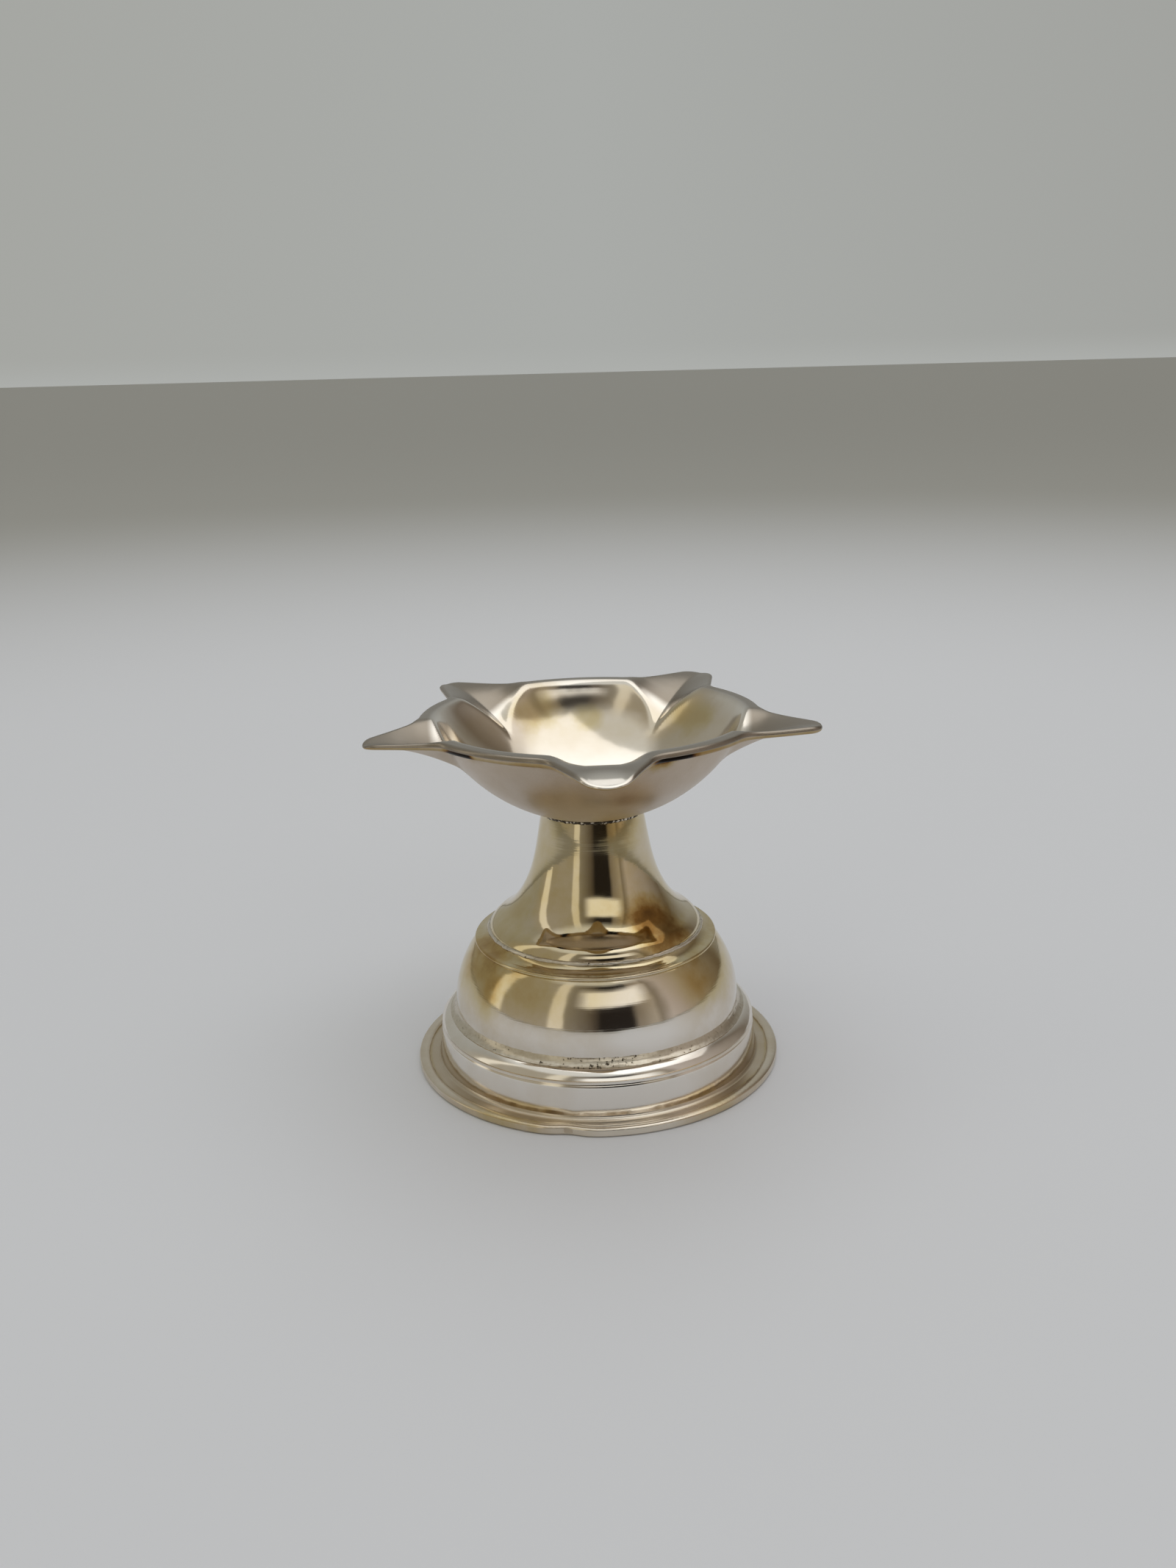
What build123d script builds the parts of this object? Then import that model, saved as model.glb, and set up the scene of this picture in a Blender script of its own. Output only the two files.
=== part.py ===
from build123d import *
import os
from math import hypot, sqrt

# A five-lipped oil lamp raised and spun from thin sheet, standing on the plane z = 0.
# The lamp's axis is Z, and all sizes are in millimetres.

# Sheet and fits
SHEET = 0.5              # wall of the spun and raised pieces
PLATE_T = 0.4            # wall of the closing plate under the foot
FIT = 0.05               # play between pieces that slip into each other

# Foot
FLANGE_R = 24.85         # outside of the plate's folded rim
FLANGE_W = 3.0           # from there in to the foot of the skirt wall
FOLD_W = 1.4             # how far the plate's rim is folded in over the flange
FLANGE_BEND = 0.9        # hollow bend between the skirt wall and the flange
SKIRT_FLARE = 0.4        # how far the skirt wall spreads on its way down
SKIRT_H = 5.1            # height of the skirt wall over the flange
BEAD_W = 2.1             # from the skirt wall in to the collar, across the sloping bead
BEAD_H = 1.3             # height of the bead over the skirt wall
BEAD_ROUND = 0.42        # how far the bead's curve rises over its chord

# Dome
DOME_H = 9.6             # from the top of the bead to the groove under the crown
DOME_TAPER = 2.8         # how far the dome draws in over that height
DOME_BULGE = 0.95        # how far the dome's curve rises over its chord
DOME_LAP = 1.0           # how far the dome reaches down inside the skirt
GROOVE = 0.35            # width and depth of the groove under the crown's ridge
RIDGE_H = 0.55           # height of the thin ridge round the crown
COVE_W = 1.8             # from the ridge in to the stem's edge, across the hollow band
COVE_H = 1.05            # height of the hollow band above the ridge
COVE_DEPTH = 0.3         # hollow of that band under its chord
LEDGE_W = 1.6            # flat ledge on the crown that carries the stem

# Stem
FLARE_W = 1.47           # from the stem's edge in to where its rounded shoulder turns hollow
FLARE_H = 1.95           # height of that place over the edge
WAIST_R = 8.88           # stem in the middle of its sweep
WAIST_H = 7.1            # height of that place over the edge
NECK_R = 6.75            # stem under the bowl
NECK_LEAN = 0.18         # how fast the neck widens as it goes down
STEM_H = 16.48           # height of the stem
STEM_STEPS = 6           # places along the stem where its wall is measured off

# Bowl
MOUTH_R = 20.3           # outside of the bowl's wall under the rim
BOWL_DROP = 12.65        # depth of the bowl's outside under the rim
RIM_W = 2.3              # how far the rim stands out past the wall
HEM_T = 1.2              # rim, where the sheet is turned under and doubled
HEM_ROUND = 0.45         # rounding of the rim's outer edges
MOUTH_ROUND = 1.0        # rounding from the inner wall to the top of the rim

# Wick lips, beaten out by hand, from the front one round to the right
FRONT_LIP_ANGLE = -86.5  # direction of the front lip, from +X
LIP_TURNS = (0, 0, 0, 3, -3)  # how far each lip is off its even share of the round
LIP_LENGTHS = (8.0, 7.7, 8.5, 8.4, 7.5)  # from the rim to each lip's end
LIP_ENDS = (3.0, 2.4, 3.0, 2.2, 2.6)  # radius of each lip's end
LIP_DROPS = (1.3, 0.4, 0.6, 0.6, 1.05)  # depth of each lip's trough under the rim, at the end
LIP_ROOT_W = 13.4        # width of a lip where it leaves the rim
LIP_ROOT_ROUND = 3.0     # hollow corner between a lip and the rim
TROUGH_IN = 8.0          # from the rim in to where a trough leaves the bowl's inner wall
TROUGH_EDGE = 1.0        # flat left beside the trough on both sides of a lip's root
TROUGH_END_W = 8.4       # width of the trough at the lip's end, past the lip's sides
TROUGH_ROUND = 1.3       # radius of the trough's floor
TROUGH_STEPS = 6         # stretches between the V shapes that draw a trough
RUN_OUT = 1.5            # how far a trough is drawn on at both ends, to cut clear
KEEL_INSET = 0.12        # how far a keel's edge stands back under the lip's edge

# Solder
SEAM_R = 0.3             # radius of the thin solder beads at both ends of the stem
FILLET = 0.9             # width and height of the solder fillet round the dome
FILLET_HOLLOW = 0.12     # hollow of that fillet under its chord

# Heights of the joints, from the floor up
flange_z = PLATE_T + SHEET
bead_z = flange_z + SKIRT_H
collar_z = bead_z + BEAD_H
crown_z = collar_z + DOME_H
ridge_z = crown_z + GROOVE
cove_z = ridge_z + RIDGE_H
shoulder_z = cove_z + COVE_H
neck_z = shoulder_z + STEM_H

# Radii of the foot and the stem's edge, from the flange in
skirt_foot_r = FLANGE_R - FLANGE_W
skirt_top_r = skirt_foot_r - SKIRT_FLARE
collar_r = skirt_top_r - BEAD_W
dome_r = collar_r - FIT
dome_top_r = dome_r - DOME_TAPER
ridge_r = dome_top_r - GROOVE
shoulder_r = ridge_r - COVE_W
flare_r = shoulder_r - FLARE_W

# Sphere of the bowl, which rests on the inner edge of the stem's top
seat_lean = SHEET / hypot(1, NECK_LEAN)
seat_r = NECK_R - seat_lean
seat_z = neck_z - seat_lean * NECK_LEAN
bowl_r = (MOUTH_R ** 2 + BOWL_DROP ** 2) / (2 * BOWL_DROP)
bowl_z = seat_z + sqrt(bowl_r ** 2 - seat_r ** 2)
hem_z = bowl_z - bowl_r + BOWL_DROP
rim_z = hem_z + HEM_T

# Rim and the start of a trough's floor on the inner wall
rim_r = MOUTH_R + RIM_W
trough_start_r = rim_r - TROUGH_IN
trough_start_z = bowl_z - sqrt((bowl_r - SHEET) ** 2 - trough_start_r ** 2)
trough_w = LIP_ROOT_W - 2 * TROUGH_EDGE


def turned(*outline):
    """Solid of revolution about Z from a closed outline drawn as radius and height."""
    return revolve(Plane.XZ * make_face(outline), Axis.Z)


def on_lips(make):
    """What a function makes along +X for each lip, turned to the direction of that lip."""
    share = 360 / len(LIP_TURNS)
    turns = [FRONT_LIP_ANGLE + share * lip + turn for lip, turn in enumerate(LIP_TURNS)]
    return [Rot(Z=turn) * make(lip) for lip, turn in enumerate(turns)]


def bottom_plate():
    """Closing plate whose rim is turned up round the flange and folded over it."""
    fold_z = flange_z + PLATE_T
    inner_r = FLANGE_R - PLATE_T
    edge_r = FLANGE_R - FOLD_W
    profile = Polyline((0, 0), (FLANGE_R, 0), (FLANGE_R, fold_z), (edge_r, fold_z), (edge_r, flange_z),
                       (inner_r, flange_z), (inner_r, PLATE_T), (0, PLATE_T), close=True)
    plate = turned(profile)
    rim_edges = plate.edges().filter_by(GeomType.CIRCLE).filter_by(lambda e: e.radius > FLANGE_R - FIT)
    return fillet(rim_edges, PLATE_T)


def foot_skirt():
    """Spun skirt: flange, wall, sloping bead and the collar that holds the dome."""
    flange_r = FLANGE_R - PLATE_T - FIT
    bead = SagittaArc((collar_r, collar_z), (skirt_top_r, bead_z), BEAD_ROUND)
    wall = FilletPolyline((skirt_top_r, bead_z), (skirt_foot_r, flange_z), (flange_r, flange_z),
                          radius=FLANGE_BEND)
    inside = Polyline(wall @ 1, (flange_r, PLATE_T), (skirt_foot_r - SHEET, PLATE_T),
                      (skirt_top_r - SHEET, bead_z), (collar_r, collar_z - DOME_LAP), (collar_r, collar_z))
    return turned(bead, *wall.edges(), *inside.edges())


def dome():
    """Spun dome with its moulded crown: hollow band, thin ridge and groove under a flat ledge."""
    ledge = Line((shoulder_r - LEDGE_W, shoulder_z), (shoulder_r, shoulder_z))
    cove = SagittaArc(ledge @ 1, (ridge_r, cove_z), -COVE_DEPTH)
    ridge = SagittaArc(cove @ 1, (ridge_r, ridge_z), RIDGE_H / 2)
    groove = Line(ridge @ 1, (dome_top_r, crown_z))
    bulge = SagittaArc(groove @ 1, (dome_r, collar_z), DOME_BULGE)
    foot = Polyline(bulge @ 1, (dome_r, collar_z - DOME_LAP), (dome_r - SHEET, collar_z - DOME_LAP),
                    (dome_r - SHEET, collar_z))
    inner_bulge = SagittaArc(foot @ 1, (dome_top_r - 2 * SHEET, crown_z), -DOME_BULGE)
    inner_crown = Polyline(inner_bulge @ 1, (shoulder_r - SHEET, shoulder_z - SHEET),
                           (shoulder_r - LEDGE_W, shoulder_z - SHEET), ledge @ 0)
    return turned(ledge, cove, ridge, groove, bulge, *foot.edges(), inner_bulge, *inner_crown.edges())


def stem():
    """Spun trumpet stem: straight neck, hollow flare and rounded shoulder, open at both ends."""
    ends = [(NECK_LEAN, -1), (0, -1)]
    outside = Spline((NECK_R, neck_z), (WAIST_R, shoulder_z + WAIST_H), (flare_r, shoulder_z + FLARE_H),
                     (shoulder_r, shoulder_z), tangents=ends)
    inner_points = []
    for step in range(STEM_STEPS + 1):
        along = outside % (step / STEM_STEPS)
        inner_points.append(outside @ (step / STEM_STEPS) + Vector(along.Y, -along.X) * SHEET)
    inside = Spline(*inner_points, tangents=ends)
    return turned(outside, Line(outside @ 1, inside @ 1), inside, Line(inside @ 0, outside @ 0))


def lip_outline(lip, inset=0):
    """Plan of one lip: straight sides that taper from the rim to a round end, all moved in by an inset."""
    end = Pos(rim_r + LIP_LENGTHS[lip] - LIP_ENDS[lip]) * Circle(LIP_ENDS[lip] - inset)
    root = Pos(sqrt(rim_r ** 2 - (LIP_ROOT_W / 2) ** 2) - HEM_T) * Rectangle(HEM_T, LIP_ROOT_W - 2 * inset)
    return make_hull([*end.edges(), *root.edges()])


def rim_plate():
    """Hemmed rim: a disc with five tapering lips, hollow corners at their roots and rounded edges."""
    outline = Circle(rim_r) + on_lips(lip_outline)
    plate = extrude(Pos(Z=hem_z) * outline, HEM_T)
    uprights = plate.edges().filter_by(Axis.Z)
    roots = uprights.filter_by(lambda edge: abs(hypot(edge.center().X, edge.center().Y) - rim_r) < FIT)
    plate = fillet(roots, LIP_ROOT_ROUND)
    flats = plate.faces().filter_by(Axis.Z)
    return fillet(flats.edges(), HEM_ROUND)


def vee(lip, radius, thickness, roof):
    """Rounded V across a lip, a sheet's thickness under the trough's surface, closed at a roof."""
    across = Plane((radius, 0, 0), x_dir=(0, 1, 0), z_dir=(1, 0, 0))
    to_end = rim_r + LIP_LENGTHS[lip] - radius
    end_z = rim_z - LIP_DROPS[lip]
    floor = end_z - (end_z - trough_start_z) * (to_end / (TROUGH_IN + LIP_LENGTHS[lip])) ** 2
    width = TROUGH_END_W + (trough_w - TROUGH_END_W) * min(1, to_end / LIP_LENGTHS[lip])
    half = width / 2 * (roof - floor + thickness) / (rim_z - floor)
    bend_r = TROUGH_ROUND + thickness
    bend = FilletPolyline((-half, roof), (0, floor - thickness), (half, roof), radius=bend_r)
    return across * make_face([*bend.edges(), Line((half, roof), (-half, roof))])


def lip_vee(lip, thickness, roof):
    """The V of a lip, from inside the bowl to past the lip's end."""
    start_r = trough_start_r - RUN_OUT
    step = (rim_r + LIP_LENGTHS[lip] + RUN_OUT - start_r) / TROUGH_STEPS
    stations = [start_r + step * count for count in range(TROUGH_STEPS + 1)]
    return loft([vee(lip, radius, thickness, roof) for radius in stations], ruled=True)


def trough(lip):
    """Room of the trough in a lip, open above the rim."""
    return lip_vee(lip, 0, rim_z + HEM_T)


def keel(lip):
    """Ridge under a lip: the trough's V moved down by the sheet, within the plan of the lip."""
    root = Pos(rim_r / 2) * Rectangle(rim_r, LIP_ROOT_W)
    plan = extrude(Pos(Z=bowl_z - bowl_r) * (root + lip_outline(lip, KEEL_INSET)), bowl_r)
    return lip_vee(lip, SHEET, hem_z + HEM_ROUND) & plan


def hollow():
    """Inside of the bowl: a sphere that opens at the mouth with a rounded edge."""
    inner_r = bowl_r - SHEET
    round_z = rim_z - MOUTH_ROUND
    round_r = sqrt((inner_r + MOUTH_ROUND) ** 2 - (bowl_z - round_z) ** 2)
    mouth = Vector(round_r, round_z - bowl_z).normalized() * inner_r + Vector(0, bowl_z)
    deepest = Vector(0, bowl_z - inner_r)
    wall = RadiusArc(deepest, mouth, -inner_r)
    edge = TangentArc(mouth, (round_r, rim_z), tangent=wall % 1)
    above = Polyline(edge @ 1, (round_r, bowl_z), (0, bowl_z), deepest)
    return turned(wall, edge, *above.edges())


def bowl():
    """Raised bowl: a shallow sphere with a hemmed rim and five troughed lips, keeled underneath."""
    cup = split(Pos(Z=bowl_z) * Sphere(bowl_r), Plane.XY.offset(hem_z + HEM_ROUND), keep=Keep.BOTTOM)
    body = cup + on_lips(keel) + rim_plate()
    return body - hollow() - on_lips(trough)


def bead_run(radius, height):
    """Thin round bead of solder about the axis."""
    return Pos(Z=height) * Torus(radius, SEAM_R)


def fillet_run():
    """Solder fillet with a hollow face, round the dome where it stands in the skirt."""
    corner = Vector(collar_r, collar_z)
    upper = corner + Vector(0, FILLET)
    outer = corner + Vector(FILLET, 0)
    inward = Vector(SHEET / 2, 0)
    downward = Vector(0, SHEET / 2)
    face = SagittaArc(upper, outer, -FILLET_HOLLOW)
    back = Polyline(outer, outer - downward, corner - downward, corner,
                    corner - inward, upper - inward, upper)
    return turned(face, *back.edges())


def seam(run, *neighbours):
    """Solder run into the corner between two pieces."""
    for piece in neighbours:
        run = run - piece
    return run


def main():
    pieces = {
        "bottom_plate": bottom_plate(),
        "foot_skirt": foot_skirt(),
        "dome": dome(),
        "stem": stem(),
        "bowl": bowl(),
    }
    pieces["bowl_seam"] = seam(bead_run(NECK_R, neck_z), pieces["stem"], pieces["bowl"])
    pieces["shoulder_seam"] = seam(bead_run(shoulder_r, shoulder_z), pieces["stem"], pieces["dome"])
    pieces["foot_seam"] = seam(fillet_run(), pieces["dome"], pieces["foot_skirt"])
    os.makedirs("parts", exist_ok=True)
    for name, piece in pieces.items():
        print(name, piece.is_valid, round(piece.volume, 2), len(piece.solids()))
        export_step(piece, f"parts/{name}.step")


main()
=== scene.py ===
# %% [markdown]
# # A five-lipped silver oil lamp
#
# The lamp is made the way a silversmith makes it. Its foot, dome and stem are spun from thin sheet,
# its bowl is raised with the hammer, and solder joins them. The imported model gives every piece its
# size and place, so the lesson starts by loading it. Its box is kept.

# %% Load the frame
import math
import random

import bmesh
import bpy
from mathutils import Matrix, Vector
from mathutils.geometry import interpolate_bezier


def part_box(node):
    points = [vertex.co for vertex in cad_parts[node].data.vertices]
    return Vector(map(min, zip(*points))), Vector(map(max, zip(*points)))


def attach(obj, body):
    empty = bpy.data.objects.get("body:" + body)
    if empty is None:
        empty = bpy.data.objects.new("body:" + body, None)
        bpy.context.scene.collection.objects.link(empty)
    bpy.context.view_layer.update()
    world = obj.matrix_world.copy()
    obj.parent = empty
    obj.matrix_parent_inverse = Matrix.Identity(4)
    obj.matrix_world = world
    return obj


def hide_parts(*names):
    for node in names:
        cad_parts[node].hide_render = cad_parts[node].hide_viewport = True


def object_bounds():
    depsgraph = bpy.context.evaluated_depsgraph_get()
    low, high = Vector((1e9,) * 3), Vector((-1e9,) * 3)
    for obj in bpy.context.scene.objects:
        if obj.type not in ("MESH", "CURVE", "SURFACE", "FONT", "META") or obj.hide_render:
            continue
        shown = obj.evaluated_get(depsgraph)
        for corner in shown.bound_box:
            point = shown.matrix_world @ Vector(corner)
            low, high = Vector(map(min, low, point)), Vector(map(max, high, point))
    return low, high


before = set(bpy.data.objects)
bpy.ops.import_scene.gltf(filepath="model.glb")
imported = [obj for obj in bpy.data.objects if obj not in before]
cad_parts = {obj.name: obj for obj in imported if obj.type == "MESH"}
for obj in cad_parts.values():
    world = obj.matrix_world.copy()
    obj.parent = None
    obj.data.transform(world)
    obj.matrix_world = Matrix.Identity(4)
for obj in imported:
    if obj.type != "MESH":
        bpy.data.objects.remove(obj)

MM = 0.001
cad_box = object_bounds()
print("CAD box in mm:", [[round(value / MM, 2) for value in corner] for corner in cad_box])

# %% [markdown]
# ## The camera
#
# The camera comes first, because everything is judged through it. Its place was worked out from the
# circles of the foot and the ends of the lips. The sensor's width belongs to the frame's long side,
# which is its height here.

# %% Camera
FRAME_H = 2134              # height of the frame, in pixels
FOCAL_PX = 2000             # focal length, in pixels of that frame
SENSOR_MM = 36
EYE = (0, -187.4, 94.1)     # in millimetres
LOOK_DOWN = 16.51           # degrees, as the next two
TURN = 0.14
ROLL = -1.5

camera_data = bpy.data.cameras.new("camera")
camera_data.sensor_width = SENSOR_MM
camera_data.lens = SENSOR_MM * FOCAL_PX / FRAME_H
camera_data.clip_start = MM
camera = bpy.data.objects.new("camera", camera_data)
bpy.context.scene.collection.objects.link(camera)
tilt = Matrix.Rotation(math.radians(90 - LOOK_DOWN), 4, "X")
turn_left = Matrix.Rotation(math.radians(TURN), 4, "Z")
roll = Matrix.Rotation(math.radians(ROLL), 4, "Z")
camera.matrix_world = Matrix.Translation(Vector(EYE) * MM) @ turn_left @ tilt @ roll
bpy.context.scene.camera = camera
print("lens in mm:", round(camera_data.lens, 2))

# %% [markdown]
# ## Nodes and colours
#
# Colours are written as sRGB hex values, as a picker shows them, and Blender wants linear light, so
# one function turns them. Another adds a node with its settings and its links, which keeps each
# material short enough to read.

# %% Node helpers
def linear(hex_colour):
    """Linear RGBA of an sRGB hex colour."""
    shares = [int(hex_colour[k:k + 2], 16) / 255 for k in (1, 3, 5)]
    return [s / 12.92 if s <= 0.04045 else ((s + 0.055) / 1.055) ** 2.4 for s in shares] + [1]


def add_node(tree, kind, inputs=None, stops=(), **settings):
    """A node with its settings, and its sockets given as values or as the sockets that feed them.
    A ramp's stops are positions with sRGB hex colours."""
    made = tree.nodes.new(kind)
    for name, value in settings.items():
        setattr(made, name, value)
    while stops and len(made.color_ramp.elements) < len(stops):
        made.color_ramp.elements.new(0.5)
    for index, (position, tone) in enumerate(stops):
        made.color_ramp.elements[index].position = position
        made.color_ramp.elements[index].color = linear(tone)
    for socket, value in (inputs or {}).items():
        if isinstance(value, bpy.types.NodeSocket):
            tree.links.new(value, made.inputs[socket])
        else:
            made.inputs[socket].default_value = value
    return made


def new_material(name):
    """A material without nodes, and the tree that takes them."""
    material = bpy.data.materials.new(name)
    material.use_nodes = True
    material.node_tree.nodes.clear()
    return material, material.node_tree


print("sRGB #808080 is", round(linear("#808080")[0], 3), "in linear light")

# %% [markdown]
# ## Floor, studio and light
#
# Polished silver has hardly a colour of its own: it shows the room. So the studio is part of the
# finish. A pale floor, greyed with distance from the lamp by painted shade, gives the lower walls
# their white. A bright ceiling and one large soft box give the rim and the shoulders their light,
# and a soft screen high in front gives the rounded walls their broad highlights. Dark and pale
# panels along the wall give the upright streaks that make metal read as metal. A picture of a room
# could do the same, but a ramp round the horizon needs no file, and each panel in it can be moved
# until its streak sits right.

# %% Floor
FLOOR_SIZE = 12.0           # metres
PALE = "#e7eaf2"
# painted shade: the floor is coloured greyer further from the lamp, as if less light reached it
FAR_PAINTED_SHADE = "#aeaeaa"             # the floor's tone where the light no longer reaches it
PAINTED_FALLOFF = (0.22, 0.85)          # metres from the lamp where the floor starts to grey, and has greyed

bpy.ops.object.select_all(action="DESELECT")
bpy.ops.mesh.primitive_plane_add(size=FLOOR_SIZE)
floor = bpy.context.object
floor.name = "floor"
# Uncoated paper scatters light evenly: it takes soft shadows and shows no mirror image
paper, tree = new_material("matt_pale_paper_painted_falloff")
place = add_node(tree, "ShaderNodeTexCoord").outputs["Object"]
distance = add_node(tree, "ShaderNodeVectorMath", {0: place}, operation="LENGTH").outputs["Value"]
# painted shade: this greys the floor's colour with distance from the lamp
painted_falloff_share = add_node(tree, "ShaderNodeMapRange",
                  {"Value": distance, "From Min": PAINTED_FALLOFF[0], "From Max": PAINTED_FALLOFF[1]},
                  interpolation_type="SMOOTHSTEP")
shade = add_node(tree, "ShaderNodeMix",
                 {0: painted_falloff_share.outputs[0], 6: linear(PALE), 7: linear(FAR_PAINTED_SHADE)}, data_type="RGBA")
shader = add_node(tree, "ShaderNodeBsdfPrincipled",
                  {"Base Color": shade.outputs[2], "Roughness": 0.6})
add_node(tree, "ShaderNodeOutputMaterial", {"Surface": shader.outputs[0]})
floor.data.materials.append(paper)
print("floor of", FLOOR_SIZE, "m, grey from", PAINTED_FALLOFF[1], "m on")

# %% Studio wall
BACKDROP = "#adafac"        # the studio's plain wall
CEILING = "#d8d9d5"
# Panels along the wall, by degrees to the right of the camera's side
PANELS = (
    (-180, "#a9aba8"), (-110, "#9d9c94"), (-96, "#a39d8e"), (-94, "#efeadb"), (-84, "#efeadb"),
    (-82, "#a39d8e"), (-40, "#a39d8e"), (-38, "#e2dcca"), (-28, "#e2dcca"), (-26, "#8f897b"),
    (-4, "#5c544a"), (3, "#282421"), (28, "#282421"), (33, "#857c6e"), (48, "#a89f90"),
    (52, "#857c6e"), (62, "#b7aea6"), (100, "#9b938a"), (128, "#6f665b"), (155, "#a1a29e"),
    (180, "#a9aba8"))
PANELS_FOOT = (-1.2, 0.3)   # degrees up, where the wall gives way to the panels
PANELS_TOP = (50, 62)       # and where the panels give way to the ceiling


def upward(degrees):
    """Height on a ball of radius 1, in a direction that points so many degrees up."""
    return math.sin(math.radians(degrees))


world = bpy.data.worlds.new("studio")
bpy.context.scene.world = world
world.use_nodes = True
tree = world.node_tree
tree.nodes.clear()
direction = add_node(tree, "ShaderNodeTexCoord").outputs["Generated"]
parts = add_node(tree, "ShaderNodeSeparateXYZ", {"Vector": direction}).outputs
towards_camera = add_node(tree, "ShaderNodeMath", {0: parts["Y"], 1: -1}, operation="MULTIPLY")
around = add_node(tree, "ShaderNodeMath", {0: parts["X"], 1: towards_camera.outputs[0]},
                  operation="ARCTAN2").outputs[0]
share = add_node(tree, "ShaderNodeMapRange",
                 {"Value": around, "From Min": -math.pi, "From Max": math.pi})
panels = add_node(tree, "ShaderNodeValToRGB", {"Fac": share.outputs[0]},
                  stops=[((degrees + 180) / 360, tone) for degrees, tone in PANELS])
room = linear(BACKDROP)
for (low, high), tone in ((PANELS_FOOT, panels.outputs[0]), (PANELS_TOP, linear(CEILING))):
    above = add_node(tree, "ShaderNodeMapRange",
                     {"Value": parts["Z"], "From Min": upward(low), "From Max": upward(high)},
                     interpolation_type="SMOOTHSTEP")
    room = add_node(tree, "ShaderNodeMix", {0: above.outputs[0], 6: room, 7: tone},
                    data_type="RGBA").outputs[2]
print("wall of", len(PANELS), "tones under a ceiling")

# %% Soft screen
SCREEN = "#fffdf6"          # wide and soft, high in front
SCREEN_MIDDLE = (15, 34)    # degrees to the right of the camera's side, and up
SCREEN_EDGE = (52, 47)
SCREEN_CORE = 0.55          # share of it that is fully bright

glow = 1.0
spans = ((around, math.radians), (parts["Z"], upward))
for (value, measure), middle, edge in zip(spans, SCREEN_MIDDLE, SCREEN_EDGE):
    half = measure(edge) - measure(middle)
    over = add_node(tree, "ShaderNodeMath", {0: value, 1: measure(middle)}, operation="SUBTRACT")
    away = add_node(tree, "ShaderNodeMath", {0: over.outputs[0]}, operation="ABSOLUTE")
    fade = add_node(tree, "ShaderNodeMapRange",
                    {"Value": away.outputs[0], "From Min": half, "From Max": SCREEN_CORE * half},
                    interpolation_type="SMOOTHSTEP")
    glow = add_node(tree, "ShaderNodeMath", {0: glow, 1: fade.outputs[0]},
                    operation="MULTIPLY").outputs[0]
lit = add_node(tree, "ShaderNodeMix", {0: glow, 6: room, 7: linear(SCREEN)}, data_type="RGBA")
background = add_node(tree, "ShaderNodeBackground", {"Color": lit.outputs[2], "Strength": 1.0})
add_node(tree, "ShaderNodeOutputWorld", {"Surface": background.outputs[0]})
bpy.context.scene.view_settings.view_transform = "Standard"
print("screen of", 2 * (SCREEN_EDGE[0] - SCREEN_MIDDLE[0]), "degrees, with its faded edges")

# %% Ceiling box
BOX_PLACE = (0.16, 0.14, 0.78)  # metres
BOX_SIZE = (1.0, 0.8)
BOX_GLOW = 0.6              # how bright its face looks, where 1 is white

box = bpy.data.lights.new("ceiling_box", "AREA")
box.shape = "RECTANGLE"
box.size, box.size_y = BOX_SIZE
box.energy = BOX_GLOW * math.pi * BOX_SIZE[0] * BOX_SIZE[1]
ceiling_box = bpy.data.objects.new("ceiling_box", box)
bpy.context.scene.collection.objects.link(ceiling_box)
ceiling_box.location = BOX_PLACE
lamp_middle = (cad_box[0] + cad_box[1]) / 2
facing = lamp_middle - ceiling_box.location
ceiling_box.rotation_euler = facing.to_track_quat("-Z", "Y").to_euler()
print("ceiling box of", round(box.energy, 2), "W,", round(facing.length, 2), "m from the lamp")

# %% [markdown]
# ## Turning a piece
#
# The foot, dome and stem are spun on a lathe over a wooden form, so each is one outline turned about
# the axis. In Blender the outline is one vertex that is pulled from point to point, and Spin does
# what the lathe does. A Screw modifier on a curve would turn it as well, but Spin leaves a mesh
# whose points can be worked on. A sheet has two sides, so every outline goes down the outside and
# comes back up the inside.

# %% Stretches of an outline
ARC_STEPS = 10


def arc(start, end, rise, steps=ARC_STEPS):
    """Points after start on a round stretch that rises over its chord, to the left of its way."""
    start, end = Vector(start), Vector(end)
    chord = (end - start).length
    along = (end - start) / chord
    left = Vector((-along.y, along.x)) * math.copysign(1, rise)
    half = 2 * math.atan(2 * abs(rise) / chord)
    radius = chord / 2 / math.sin(half)
    points = []
    for step in range(1, steps + 1):
        angle = half * (2 * step / steps - 1)
        side = radius * (math.cos(angle) - math.cos(half))
        points.append(tuple(start + along * (chord / 2 + radius * math.sin(angle)) + left * side))
    return points


def sweep(start, leaving, end, arriving, steps=ARC_STEPS):
    """Points after start on a smooth curve that leaves and arrives in the given directions."""
    start, end = Vector(start), Vector(end)
    reach = (end - start).length / 3
    handle_a = start + Vector(leaving).normalized() * reach
    handle_b = end - Vector(arriving).normalized() * reach
    points = interpolate_bezier(start, handle_a, handle_b, end, steps + 1)
    return [tuple(point)[:2] for point in points[1:]]


def inner_wall(outside, sheet):
    """The other side of a sheet: the outline's points moved square to it, in the other order."""
    inside = []
    for index, point in enumerate(outside):
        before = Vector(outside[max(index - 1, 0)])
        after = Vector(outside[min(index + 1, len(outside) - 1)])
        along = (after - before).normalized()
        inside.append(tuple(Vector(point) + Vector((along.y, -along.x)) * sheet))
    return inside[::-1]


print("half a round over a chord of 2 has its top at", arc((0, 0), (2, 0), 1)[ARC_STEPS // 2 - 1])

# %% The lathe
TURN_STEPS = 216            # faces round a turned piece
WELD = 0.002 * MM           # points closer than this are one point
CREASE_ANGLE = 50           # degrees, an edge sharper than this stays crisp


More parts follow.
